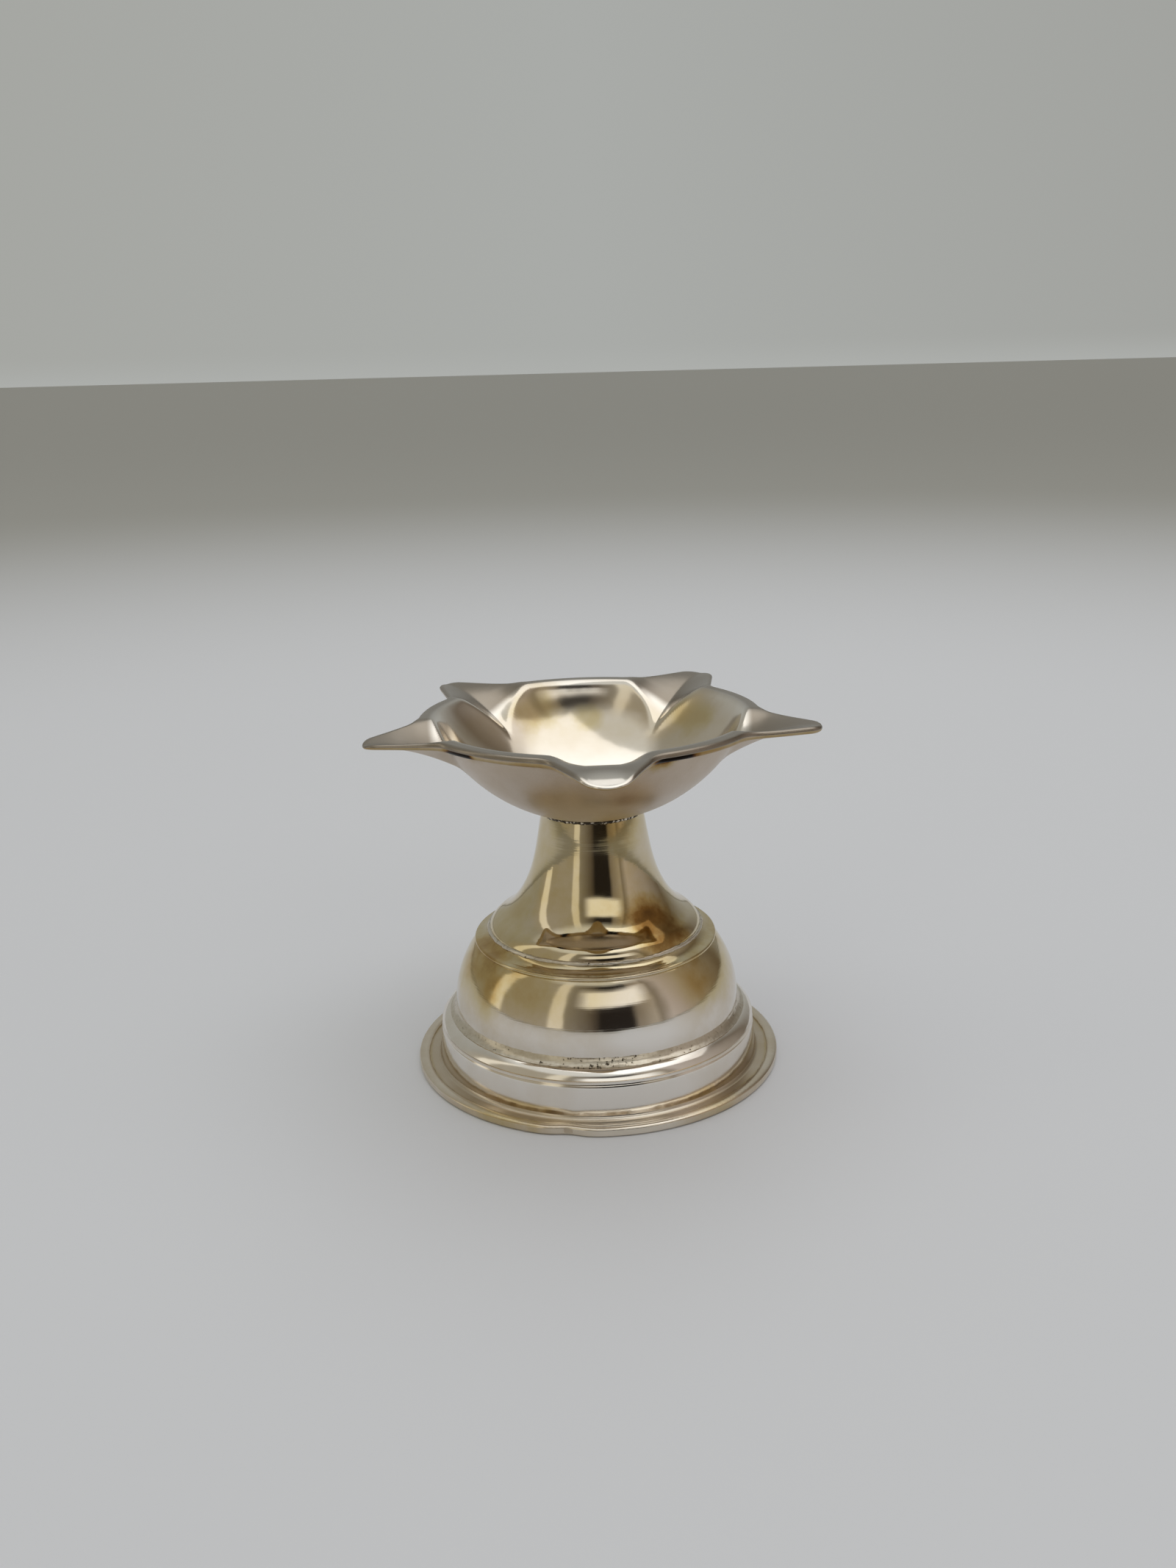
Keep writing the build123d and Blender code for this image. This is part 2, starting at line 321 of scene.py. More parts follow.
def trace(outline):
    """Draws an outline of radii and heights in edit mode, by pulling a vertex from point to point."""
    bpy.ops.object.select_all(action="DESELECT")
    bpy.ops.mesh.primitive_plane_add(size=MM)
    bpy.ops.object.mode_set(mode="EDIT")
    bpy.ops.mesh.merge(type="CENTER")
    places = [Vector((radius, 0, height)) * MM for radius, height in outline]
    bpy.ops.transform.translate(value=places[0])
    for before, after in zip(places, places[1:]):
        bpy.ops.mesh.extrude_vertices_move(TRANSFORM_OT_translate={"value": after - before})


def turned(name, outline):
    """A turned piece: its outline is closed, spun about the axis, welded and faced outwards."""
    trace(outline + outline[:1])
    bpy.ops.mesh.select_all(action="SELECT")
    bpy.ops.mesh.remove_doubles(threshold=WELD)
    bpy.ops.mesh.spin(steps=TURN_STEPS, angle=2 * math.pi, center=(0, 0, 0), axis=(0, 0, 1))
    bpy.ops.mesh.select_all(action="SELECT")
    bpy.ops.mesh.remove_doubles(threshold=WELD)
    bpy.ops.mesh.normals_make_consistent(inside=False)
    bpy.ops.object.mode_set(mode="OBJECT")
    piece = bpy.context.object
    piece.name = piece.data.name = name
    bpy.ops.object.shade_smooth_by_angle(angle=math.radians(CREASE_ANGLE))
    return piece


def seat(piece, node, material):
    """Gives a piece its finish and puts it in the place of its node."""
    piece.data.materials.append(material)
    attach(piece, "root")
    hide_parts(node)
    print(piece.name, "stands for", node, "with", len(piece.data.polygons), "faces")


print("a face of a turned piece spans", round(360 / TURN_STEPS, 2), "degrees")

# %% [markdown]
# ## Silver and its tarnish
#
# Every piece is sterling silver, and most of its colour is tarnish: a film of silver sulphide that
# turns from clear to straw, amber, brown and at last black as it grows. One ramp holds that row of
# colours, and each material only says how thick the film is: a general haze, soft blotches, rises
# between two heights or radii, bands round the lamp and stains at named places. A zone that was
# rubbed down and not polished is rougher and has a darker tone. A painted picture could hold all
# this too, but places in millimetres stay right when a piece is made again. Turning lines, the grain
# of rubbing and waves of the sheet come from bump, because they are too small for the mesh.

# %% Film of tarnish
FILM = ((0.0, "#f2ede6"), (0.25, "#e0d5c4"), (0.45, "#d3c39c"), (0.60, "#c3a871"),
        (0.75, "#96703c"), (0.88, "#553a22"), (1.0, "#1c1611"))
BLOTCH_MM = 7.0             # size of the soft blotches of tarnish
BLOTCH_FADE = (0.25, 0.75)  # values of the cloudy noise between which a blotch grows
STAIN_FADE = (0.5, -0.2)    # shares of its size between which a stain or band grows


def per_metre(size_mm):
    """Texture scale for a pattern of that size."""
    return 1 / (size_mm * MM)


def film_on(tree, place, axes, haze, blotch, rises, bands, stains):
    """Socket with the film's thickness, as the sum of all that is named."""
    cloud = add_node(tree, "ShaderNodeTexNoise",
                     {"Vector": place, "Scale": per_metre(BLOTCH_MM), "Detail": 5,
                      "Roughness": 0.6}).outputs["Fac"]
    steps = [(cloud, *BLOTCH_FADE, haze - blotch, haze + blotch)]
    steps += [(axes[axis], low * MM, high * MM, 0, amount) for axis, low, high, amount in rises]
    spreads = []
    for axis, level, size, amount in bands:
        over = add_node(tree, "ShaderNodeMath", {0: axes[axis], 1: level * MM}, operation="SUBTRACT")
        away = add_node(tree, "ShaderNodeMath", {0: over.outputs[0]}, operation="ABSOLUTE")
        spreads.append((away.outputs[0], size * MM, amount))
    for spot, size, amount in stains:
        away = add_node(tree, "ShaderNodeVectorMath", {0: place, 1: Vector(spot) * MM},
                        operation="DISTANCE")
        spreads.append((away.outputs["Value"], size * MM, amount))
    for away, size, amount in spreads:
        ragged = add_node(tree, "ShaderNodeMath", {0: cloud, 1: -size, 2: away},
                          operation="MULTIPLY_ADD")
        steps.append((ragged.outputs[0], STAIN_FADE[0] * size, STAIN_FADE[1] * size, 0, amount))
    film = 0.0
    for value, low, high, base, top in steps:
        step = add_node(tree, "ShaderNodeMapRange",
                        {"Value": value, "From Min": low, "From Max": high, "To Min": base,
                         "To Max": top}, interpolation_type="SMOOTHSTEP")
        film = add_node(tree, "ShaderNodeMath", {0: film, 1: step.outputs[0]},
                        operation="ADD").outputs[0]
    return film


print("film of", len(FILM), "tones, in blotches of", BLOTCH_MM, "mm")

# %% Rubbed places and painted highlights
EVERYWHERE = ("up", -2, -1)  # a zone that starts under the lamp
PAINTED_HIGHLIGHT_CORE = 0.3             # share of a painted highlight's size that is bright all over


def rubbed_on(tree, place, axes, zone, painted_highlights):
    """Socket that is 1 where the metal was only rubbed down, and 0 where it is bright or a highlight
    is painted.
    """
    axis, low, high = zone
    rubbed = add_node(tree, "ShaderNodeMapRange",
                      {"Value": axes[axis], "From Min": low * MM, "From Max": high * MM},
                      interpolation_type="SMOOTHSTEP").outputs[0]
    for spot, size in painted_highlights:
        away = add_node(tree, "ShaderNodeVectorMath", {0: place, 1: Vector(spot) * MM},
                        operation="DISTANCE")
        kept = add_node(tree, "ShaderNodeMapRange",
                        {"Value": away.outputs["Value"], "From Min": PAINTED_HIGHLIGHT_CORE * size * MM,
                         "From Max": size * MM}, interpolation_type="SMOOTHSTEP")
        rubbed = add_node(tree, "ShaderNodeMath", {0: rubbed, 1: kept.outputs[0]},
                          operation="MULTIPLY").outputs[0]
    return rubbed


print("a worn place is bright over", PAINTED_HIGHLIGHT_CORE, "of its size")

# %% Lines, grain and waves
LINE_MM = 0.55              # spacing of turning lines, drawn coarser than real ones so that they show
GRAIN_MM = 0.35             # size of the grain that rubbing leaves, drawn coarser so that it shows
WOBBLE_MM = 5.0             # length of the waves left in the sheet by hand work
LINE_DEPTH = 0.02           # in millimetres at full strength, as the next two
GRAIN_DEPTH = 0.05
WOBBLE_DEPTH = 0.4
RINGS = (0.01, 0.01, 1)     # scale that draws the noise out into rings round the axis


def relief_on(tree, place, lines, grain, wobble):
    """Socket with the normals of lines, grain and waves, each as strong as its number says."""
    ringed = add_node(tree, "ShaderNodeMapping", {"Vector": place, "Scale": RINGS})
    line = add_node(tree, "ShaderNodeTexNoise",
                    {"Vector": ringed.outputs[0], "Scale": per_metre(LINE_MM), "Detail": 3,
                     "Roughness": 0.7})
    speck = add_node(tree, "ShaderNodeTexNoise",
                     {"Vector": place, "Scale": per_metre(GRAIN_MM), "Detail": 3})
    wave = add_node(tree, "ShaderNodeTexNoise",
                    {"Vector": place, "Scale": per_metre(WOBBLE_MM), "Detail": 2})
    below = {}
    for pattern, strength, depth in ((line, lines, LINE_DEPTH), (speck, grain, GRAIN_DEPTH),
                                     (wave, wobble, WOBBLE_DEPTH)):
        bump = add_node(tree, "ShaderNodeBump",
                        {"Height": pattern.outputs["Fac"], "Strength": strength,
                         "Distance": depth * MM, **below})
        below = {"Normal": bump.outputs[0]}
    return bump.outputs[0]


print("lines every", LINE_MM, "mm, grain of", GRAIN_MM, "mm, waves of", WOBBLE_MM, "mm")

# %% Silver
FILM_DULLS = 0.08           # roughness that a full film adds


def silver(name, haze, blotch, rough, lines, wobble, grain=0.0, rises=(), bands=(), stains=(),
           zone=EVERYWHERE, matt=0.0, tone="#ffffff", painted_highlights=()):
    """Silver under a film. Rises are (axis, from, to, amount), bands (axis, place, size, amount) and
    stains (place, size, amount). Matt and tone hold in a zone (axis, from, to), apart from painted
    highlights (place, size), where the metal is left bright and glossy. An axis is up or out, and
    sizes are in millimetres."""
    material, tree = new_material(name)
    place = add_node(tree, "ShaderNodeTexCoord").outputs["Object"]
    height = add_node(tree, "ShaderNodeSeparateXYZ", {"Vector": place}).outputs["Z"]
    flat = add_node(tree, "ShaderNodeVectorMath", {0: place, 1: (1, 1, 0)}, operation="MULTIPLY")
    radius = add_node(tree, "ShaderNodeVectorMath", {0: flat.outputs[0]}, operation="LENGTH")
    axes = {"up": height, "out": radius.outputs["Value"]}
    film = film_on(tree, place, axes, haze, blotch, rises, bands, stains)
    rubbed = rubbed_on(tree, place, axes, zone, painted_highlights)
    colour = add_node(tree, "ShaderNodeValToRGB", {"Fac": film}, stops=FILM)
    toned = add_node(tree, "ShaderNodeMix", {0: rubbed, 6: colour.outputs[0], 7: linear(tone)},
                     data_type="RGBA", blend_type="MULTIPLY")
    clean = add_node(tree, "ShaderNodeMath", {0: film, 1: FILM_DULLS, 2: rough},
                     operation="MULTIPLY_ADD")
    dull = add_node(tree, "ShaderNodeMath", {0: rubbed, 1: matt, 2: clean.outputs[0]},
                    operation="MULTIPLY_ADD")
    shader = add_node(tree, "ShaderNodeBsdfPrincipled",
                      {"Base Color": toned.outputs[2], "Metallic": 1.0,
                       "Roughness": dull.outputs[0],
                       "Normal": relief_on(tree, place, lines, grain, wobble)})
    add_node(tree, "ShaderNodeOutputMaterial", {"Surface": shader.outputs[0]})
    print(name, "has", len(tree.nodes), "nodes")
    return material


print("a full film adds", FILM_DULLS, "to the roughness")

# %% [markdown]
# ## Heights and radii
#
# The turned pieces stand in each other, so their joints share heights and radii. The heights are
# taken down from the top of the dome and up from the plate, and the radii in from the flange, as the
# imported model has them. All lengths from here on are in millimetres.

# %% Joints of the turned pieces
SHEET = 0.5
PLATE_T = 0.4
FIT = 0.05                  # slack between two pieces
FLANGE_W = 3.0
SKIRT_FLARE = 0.4
BEAD_W = 2.1
BEAD_H = 1.3
DOME_H = 9.6
DOME_TAPER = 2.8
GROOVE = 0.35               # width and height of the groove under the ridge
RIDGE_H = 0.55
COVE_W = 1.8                # the hollow band over the ridge
COVE_H = 1.05

fold_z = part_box("bottom_plate")[1].z / MM
flange_z = fold_z - PLATE_T
shoulder_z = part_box("dome")[1].z / MM
cove_z = shoulder_z - COVE_H
ridge_z = cove_z - RIDGE_H
crown_z = ridge_z - GROOVE
collar_z = crown_z - DOME_H
bead_z = collar_z - BEAD_H
neck_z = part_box("stem")[1].z / MM

flange_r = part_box("bottom_plate")[1].x / MM
skirt_foot_r = flange_r - FLANGE_W
skirt_top_r = skirt_foot_r - SKIRT_FLARE
collar_r = skirt_top_r - BEAD_W
dome_r = collar_r - FIT
dome_top_r = dome_r - DOME_TAPER
ridge_r = dome_top_r - GROOVE
shoulder_r = ridge_r - COVE_W
joints = (flange_z, bead_z, collar_z, crown_z, shoulder_z, neck_z)
print("joints at", [round(z, 2) for z in joints], "mm up")

# %% [markdown]
# ## Bottom plate
#
# A disc closes the foot. Its rim is turned up round the flange and folded over it, and the fold's raw
# edge was filed thin and is uneven, most of all at the front, where the rim also has a dent. The
# plate is turned first, and then the points of its fold are moved in code, because the unevenness
# has to fade out round the foot.

# %% Bottom plate
FOLD_W = 1.4
FOLD_EDGE_T = 0.14          # what is left of the sheet at the fold's raw edge
FOLD_CROWN = 0.85           # how far in from the edge the fold is highest
FOLD_COURSES = 5

bend = PLATE_T * (1 - math.sqrt(0.5))  # how far a quarter round rises over its chord
fold_edge_r = flange_r - FOLD_W
crown_r = flange_r - FOLD_CROWN
plate_in_r = flange_r - PLATE_T
plate_outline = [(0, 0), (plate_in_r, 0)]
plate_outline += arc(plate_outline[-1], (flange_r, PLATE_T), -bend, steps=6)
plate_outline += [(flange_r, flange_z)]
plate_outline += sweep(plate_outline[-1], (0, 1), (crown_r, fold_z), (-1, 0), steps=10)
for course in range(1, FOLD_COURSES + 1):
    gone = course / FOLD_COURSES
    plate_outline.append((crown_r - (FOLD_W - FOLD_CROWN) * gone,
                          fold_z - (PLATE_T - FOLD_EDGE_T) * gone ** 2))
plate_outline += [(fold_edge_r, flange_z), (plate_in_r, flange_z), (plate_in_r, PLATE_T),
                  (0, PLATE_T)]
bottom_plate = turned("bottom_plate_folded", plate_outline)
print("plate turned from an outline of", len(plate_outline), "points")

# %% Uneven edge and dent
RAGGED = 0.3                # how far the raw edge wanders at the front
RAGGED_BEHIND = 0.05
RAGGED_SPREAD = 40          # degrees
EDGE_SEED = 4
FRONT = -90                 # degrees from +X
DENT = 0.5                  # depth of the dent in the rim
DENT_ANGLE = -99.5
DENT_SPREAD = 4.5


def swell(angle, middle, spread):
    """A soft hump of height 1 round an angle in degrees."""
    off = (angle - middle + 180) % 360 - 180
    return math.exp(-(off / spread) ** 2)


bpy.ops.object.mode_set(mode="EDIT")
mesh = bmesh.from_edit_mesh(bottom_plate.data)
draw = random.Random(EDGE_SEED)
wander = {}
for vertex in mesh.verts:
    radius = vertex.co.xy.length / MM
    if radius > fold_edge_r - FIT:
        angle = round(math.degrees(math.atan2(vertex.co.y, vertex.co.x)), 2)
        wander.setdefault(angle, draw.uniform(-1, 1))
        moved = -DENT * swell(angle, DENT_ANGLE, DENT_SPREAD)
        if abs(radius - fold_edge_r) < FIT:
            moved += wander[angle] * (RAGGED_BEHIND + RAGGED * swell(angle, FRONT, RAGGED_SPREAD))
        vertex.co.xy *= 1 + moved / radius
bmesh.update_edit_mesh(bottom_plate.data)
bpy.ops.object.mode_set(mode="OBJECT")
print("raw edge wanders at", len(wander), "places")

# %% Finish of the plate
# Rolled sheet that was folded and never buffed: satin, a little grainy, with straw where it is held
plate_silver = silver("folded_sheet_silver", haze=0.16, blotch=0.10, rough=0.2, lines=0.05,
                      wobble=0.08, grain=0.2, tone="#f2eee6",
                      stains=[((-11.8, -20.4, 1.3), 7, 0.25), ((13, -19, 1), 7, 0.15),
                              # painted highlight: the film is thinner at the flange's front, where the
                              # ceiling is reflected, so it is lighter there
                              ((5, -24, 1.2), 10, -0.2)])
seat(bottom_plate, "bottom_plate", plate_silver)

# %% [markdown]
# ## Foot skirt
#
# The skirt comes down from a slanting bead to the flange at its foot. The bead is a round stretch of
# the outline with a crisp lower edge, a shallow groove runs under that edge, and a hollow bend leads
# into the flange. A cylinder with bevelled loops would come close, but in one outline each bend can
# start in the direction that the last one ends in, so reflections run on without a break.

# %% Foot skirt
FLANGE_BEND = 0.5
BEAD_ROUND = 0.34
GROOVE_H = 0.8              # height of the shallow groove under the bead
GROOVE_DEPTH = 0.12
DOME_LAP = 1.0              # how deep the dome stands in the skirt

flange_end = flange_r - PLATE_T - FIT
wall_way = (SKIRT_FLARE, flange_z - bead_z)
wall_flare = SKIRT_FLARE / (bead_z - flange_z)
skirt_outline = [(collar_r, collar_z)]
skirt_outline += arc(skirt_outline[-1], (skirt_top_r, bead_z), BEAD_ROUND, steps=16)
groove_end = (skirt_top_r + wall_flare * GROOVE_H, bead_z - GROOVE_H)
skirt_outline += arc(skirt_outline[-1], groove_end, -GROOVE_DEPTH, steps=8)
bend_top = (skirt_foot_r - wall_flare * FLANGE_BEND, flange_z + FLANGE_BEND)
bend_end = (skirt_foot_r + FLANGE_BEND, flange_z)
skirt_outline += sweep(groove_end, wall_way, bend_top, wall_way, steps=12)
skirt_outline += sweep(bend_top, wall_way, bend_end, (1, 0), steps=8)
skirt_outline += [(flange_end, flange_z), (flange_end, PLATE_T), (skirt_foot_r - SHEET, PLATE_T),
                  (skirt_top_r - SHEET, bead_z), (collar_r, collar_z - DOME_LAP)]
foot_skirt = turned("foot_skirt_spun", skirt_outline)

# Buffed after spinning: nearly white and clear, with more straw low on the skirt, under its bead and
# along the fold's edge
foot_silver = silver("spun_white_silver", haze=0.08, blotch=0.08, rough=0.12, lines=0.12,
                     wobble=0.10, zone=("up", 1.8, 0.9), matt=0.14, tone="#e0dad0",
                     rises=[("up", 2.2, 0.9, 0.16)],
                     bands=[("up", bead_z - 0.4, 0.5, 0.12), ("out", fold_edge_r, 0.4, 0.12)],
                     # painted highlight: the film is thinner at the flange's front, where the ceiling
                     # is reflected, so it is lighter there
                     stains=[((5, -23, 1.2), 11, -0.25)])
seat(foot_skirt, "foot_skirt", foot_silver)

# %% [markdown]
# ## Dome
#
# The dome stands in the skirt and carries a moulded crown: a groove, a thin ridge and a hollow band
# under the ledge that the stem is soldered to. Each of these is a short stretch of the outline. Half a
# sphere would be too round: the real wall is a cone that bulges only a little.

# %% Dome
DOME_BULGE = 0.95
COVE_DEPTH = 0.3
LEDGE_W = 1.6

lap_z = collar_z - DOME_LAP
dome_outline = [(shoulder_r - LEDGE_W, shoulder_z), (shoulder_r, shoulder_z)]
dome_outline += arc(dome_outline[-1], (ridge_r, cove_z), -COVE_DEPTH, steps=8)
dome_outline += arc(dome_outline[-1], (ridge_r, ridge_z), RIDGE_H / 2, steps=8)
dome_outline += [(dome_top_r, crown_z)]
dome_outline += arc(dome_outline[-1], (dome_r, collar_z), DOME_BULGE, steps=24)
dome_outline += [(dome_r, lap_z), (dome_r - SHEET, lap_z), (dome_r - SHEET, collar_z)]
dome_outline += arc(dome_outline[-1], (dome_top_r - 2 * SHEET, crown_z), -DOME_BULGE, steps=12)
dome_outline += [(shoulder_r - SHEET, shoulder_z - SHEET), (shoulder_r - LEDGE_W, shoulder_z - SHEET)]
dome = turned("dome_spun", dome_outline)

# Buffed but seldom wiped: a clear mirror that turns straw towards the crown, with fine lathe lines
dome_silver = silver("spun_straw_silver", haze=0.14, blotch=0.10, rough=0.06, lines=0.45,
                     wobble=0.12, rises=[("up", 9.5, 15.5, 0.30)],
                     stains=[((15, -8, 14), 8, 0.12), ((-16, -8, 14), 9, 0.16),
                             # painted highlight: the film is thinner at the dome's front, where the
                             # screen is reflected, so that spot is lighter
                             ((6, -18, 13.5), 8, -0.22)])
seat(dome, "dome", dome_silver)

# %% [markdown]
# ## Stem
#
# The stem is a trumpet: a neck that widens slowly, a hollow flare and a rounded shoulder. Three
# smooth curves that share their directions where they meet draw it in one line. Scaling the rings of
# a cylinder one by one would do, but polished metal shows every ring that is a little off.

# %% Stem
NECK_R = 6.75
NECK_WAY = (0.21, -1)
WAIST = (8.88, 7.1)         # radius, and height over the shoulder's edge
WAIST_WAY = (0.380, -0.925)
FLARE = (12.88, 1.95)
FLARE_WAY = (0.863, -0.505)

waist = (WAIST[0], shoulder_z + WAIST[1])
flare = (FLARE[0], shoulder_z + FLARE[1])
stem_outside = [(NECK_R, neck_z)]
stem_outside += sweep(stem_outside[-1], NECK_WAY, waist, WAIST_WAY, steps=16)
stem_outside += sweep(waist, WAIST_WAY, flare, FLARE_WAY, steps=14)
stem_outside += sweep(flare, FLARE_WAY, (shoulder_r, shoulder_z), (0, -1), steps=14)
stem = turned("stem_spun", stem_outside + inner_wall(stem_outside, SHEET))

# The same mirror under an older film: everything it shows is tinted straw, and amber low at the right
stem_silver = silver("spun_tarnished_silver", haze=0.40, blotch=0.10, rough=0.03, lines=0.18,
                     wobble=0.10,
                     stains=[((8.6, -8.2, 20.8), 6.5, 0.34), ((4, -6, 33), 4, 0.10)])
seat(stem, "stem", stem_silver)

# %% [markdown]
# ## Bowl
#
# The bowl is raised from one sheet, course after course, and its five lips are beaten out of the rim.
# The mesh is raised the same way: a small ring of points is pulled out ring by ring over the inside
# of the bowl, round the edge of the rim, and back underneath. Each ring finds its height from a few
# plain rules: a ball for the wall, a flat for the rim, a rounded V for each trough, with soft creases
# where they meet. Cutting troughs out of a round bowl would leave hard edges, and a beaten sheet has
# none. The front lip is the one that was worked most: its trough has a flat floor that rises to a low
# saddle and droops to a blunt end.

# %% Sizes of the bowl
MOUTH_R = 20.3
BOWL_DROP = 12.65           # depth of the outer wall under the hem
RIM_R = 22.6
HEM_T = 1.2                 # thickness of the rim, whose edge is turned under
HEM_ROUND = 0.45
MOUTH_SOFT = 1.3            # softness of the edge from the inner wall to the rim
CREASE_SOFT = 0.5           # softness of the creases along a trough
HEM_SOFT = 0.6              # softness of the corner under the hem
FRONT_LIP_ANGLE = -86.5     # degrees from +X
# The five lips, from the front one and to the right of it first
LIP_TURNS = (0, 0, 0, 3, -3)  # degrees off an even share
LIP_LENGTHS = (7.88, 7.7, 8.5, 8.4, 7.48)
LIP_ENDS = (3.7, 2.4, 3.0, 2.2, 2.6)  # radius of the rounded end
LIP_DROPS = (0.35, 0.4, 0.6, 0.6, 1.05)  # how far the top of a trough's floor is under the rim
LIP_CRESTS = (5.5, 0, 0, 0, 0)  # how far from a lip's end its trough is highest
LIP_DROOPS = (1.05, 0, 0, 0, 0)  # how far it sinks again from there
LIP_FLATS = (2.0, 0, 0, 0, 0)  # half the width of a trough's flat floor
LIP_ROOT_W = 13.4
ROOT_SOFT = 1.6             # softness of the hollow corners at a lip's root
TROUGH_IN = 8.0             # how far a trough starts inside the rim's edge
TROUGH_W = 11.4             # its width at the rim's edge, and at the lip's end
TROUGH_END_W = 8.4
TROUGH_ROUND = 0.5          # roundness where a trough's sides start, for sides as steep as wide
DROOP_POWER = 3             # how late a droop sets in
WALL_GAP = 0.5              # how fast a trough's rule leaves the wall, further in than the trough

rim_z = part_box("bowl")[1].z / MM
hem_z = rim_z - HEM_T
ball_r = (MOUTH_R ** 2 + BOWL_DROP ** 2) / (2 * BOWL_DROP)
ball_z = hem_z - BOWL_DROP + ball_r
trough_start_r = RIM_R - TROUGH_IN
lip_angles = [math.radians(FRONT_LIP_ANGLE + 360 / len(LIP_TURNS) * index + turn)
              for index, turn in enumerate(LIP_TURNS)]
print("bowl: rim at", round(rim_z, 2), "mm, wall on a ball of", round(ball_r, 2), "mm")


# %% Rules for the bowl's heights
def soft_min(a, b, softness):
    """The lower of two heights, with a rounded crease where they cross."""
    near = max(softness - abs(a - b), 0) / softness
    return min(a, b) - near * near * softness / 4


def nearest_lip(x, y):
    """Index of the lip nearest to a point, and the point's places along and across that lip."""
    angle = math.atan2(y, x)
    offsets = [(angle - lip + math.pi) % (2 * math.pi) - math.pi for lip in lip_angles]
    index = min(range(len(offsets)), key=lambda lip: abs(offsets[lip]))
    radius = math.hypot(x, y)
    return index, radius * math.cos(offsets[index]), radius * math.sin(offsets[index])


def ball_wall(radius, distance):
    """Height of a ball's lower half at a distance from the axis."""
    return ball_z - math.sqrt(max(radius ** 2 - distance ** 2, 0))


def trough(x, y):
    """Height of the rounded V of the nearest lip, which climbs from the inner wall to its crest."""
    lip, along, across = nearest_lip(x, y)
    end_r = RIM_R + LIP_LENGTHS[lip]
    crest_r = end_r - LIP_CRESTS[lip]
    crest_z = rim_z - LIP_DROPS[lip]
    if along > crest_r:
        gone = (along - crest_r) / LIP_CRESTS[lip]
        floor_z = crest_z - LIP_DROOPS[lip] * gone ** DROOP_POWER
    elif along > trough_start_r:
        climb = crest_z - ball_wall(ball_r - SHEET, trough_start_r)
        floor_z = crest_z - climb * ((crest_r - along) / (crest_r - trough_start_r)) ** 2
    else:
        floor_z = ball_wall(ball_r - SHEET, along) + WALL_GAP * (trough_start_r - along)
    narrowed = min(1, (end_r - along) / LIP_LENGTHS[lip])
    width = TROUGH_END_W + (TROUGH_W - TROUGH_END_W) * narrowed
    steepness = (rim_z - floor_z) / (width / 2 - LIP_FLATS[lip])
    off_floor = max(abs(across) - LIP_FLATS[lip], 0)
    return floor_z + steepness * math.hypot(off_floor, TROUGH_ROUND * steepness)


def inside_height(x, y):
    """Upper surface of the bowl: inner wall, rim and troughs."""
    height = soft_min(ball_wall(ball_r - SHEET, math.hypot(x, y)), rim_z, MOUTH_SOFT)
    return soft_min(height, trough(x, y), CREASE_SOFT)


def under_height(x, y):
    """Lower surface of the bowl: outer wall, hem and the keels under the troughs."""
    height = soft_min(ball_wall(ball_r, math.hypot(x, y)), hem_z, HEM_SOFT)
    return soft_min(height, trough(x, y) - SHEET, HEM_SOFT)


print("bowl is", round(rim_z - inside_height(0, 0), 2), "mm deep")

# %% Outline of the star
COLUMNS = 460               # points round the rim
SEARCH = 7200               # directions tried on the way round


def lip_edge(index, angle):
    """Distance from the axis to a lip's edge, in a direction that is an angle off the lip's own."""
    end_r = LIP_ENDS[index]
    end = Vector((RIM_R + LIP_LENGTHS[index] - end_r, 0))
    root = Vector((math.sqrt(RIM_R ** 2 - (LIP_ROOT_W / 2) ** 2) - HEM_T / 2, LIP_ROOT_W / 2))
    to_end = end - root
    way = to_end.normalized()
    lean = math.asin(end_r / to_end.length)
    side = Vector((way.x * math.cos(lean) - way.y * math.sin(lean),
                   way.x * math.sin(lean) + way.y * math.cos(lean)))
    out = Vector((-side.y, side.x))
    touch = end + out * end_r
    angle = abs(angle)
    if angle <= math.atan2(touch.y, touch.x):
        half_chord = math.sqrt(max(end_r ** 2 - (end.x * math.sin(angle)) ** 2, 0))
        return end.x * math.cos(angle) + half_chord
    return out.dot(root) / (out.x * math.cos(angle) + out.y * math.sin(angle))


def star_point(angle):
    """Point of the rim's outline in a direction."""
    index, along, across = nearest_lip(math.cos(angle), math.sin(angle))
    edge = -soft_min(-RIM_R, -lip_edge(index, math.atan2(across, along)), ROOT_SOFT)
    return Vector((edge * math.cos(angle), edge * math.sin(angle)))


def star_outline():
    """Evenly spaced points of the outline, each with the direction that points out of it."""
    tries = [star_point(2 * math.pi * step / SEARCH) for step in range(SEARCH)]
    lengths = [(tries[step] - tries[step - 1]).length for step in range(SEARCH)]
    spacing = sum(lengths) / COLUMNS
    points, travelled = [], 0
    for point, length in zip(tries, lengths):
        travelled += length
        if travelled >= spacing * (len(points) + 0.5) and len(points) < COLUMNS:
            points.append(point)
    outs = []
    for step in range(COLUMNS):
        along = (points[(step + 1) % COLUMNS] - points[step - 1]).normalized()
        outs.append(Vector((along.y, -along.x)))
    return points, outs


edge_points, edge_outs = star_outline()
print("star reaches", round(max(point.length for point in edge_points), 2), "mm from the axis")

# %% Rings of the bowl
POLE_R = 0.3
COURSE_R = 14.0             # inside this the rings are round, outside it they grow into the star
ROUND_COURSES = 22
STAR_COURSES = 34
EDGE_COURSES = 8

inset_points = [point - out * HEM_ROUND for point, out in zip(edge_points, edge_outs)]


def round_ring(radius):
    """Ring of the round part, one point in the direction of each point of the star."""
    return [point.normalized() * radius for point in inset_points]


def star_ring(share):
    """Ring that has grown from the round part towards the star by a share."""
    return [inner.lerp(outer, share) for inner, outer in zip(round_ring(COURSE_R), inset_points)]


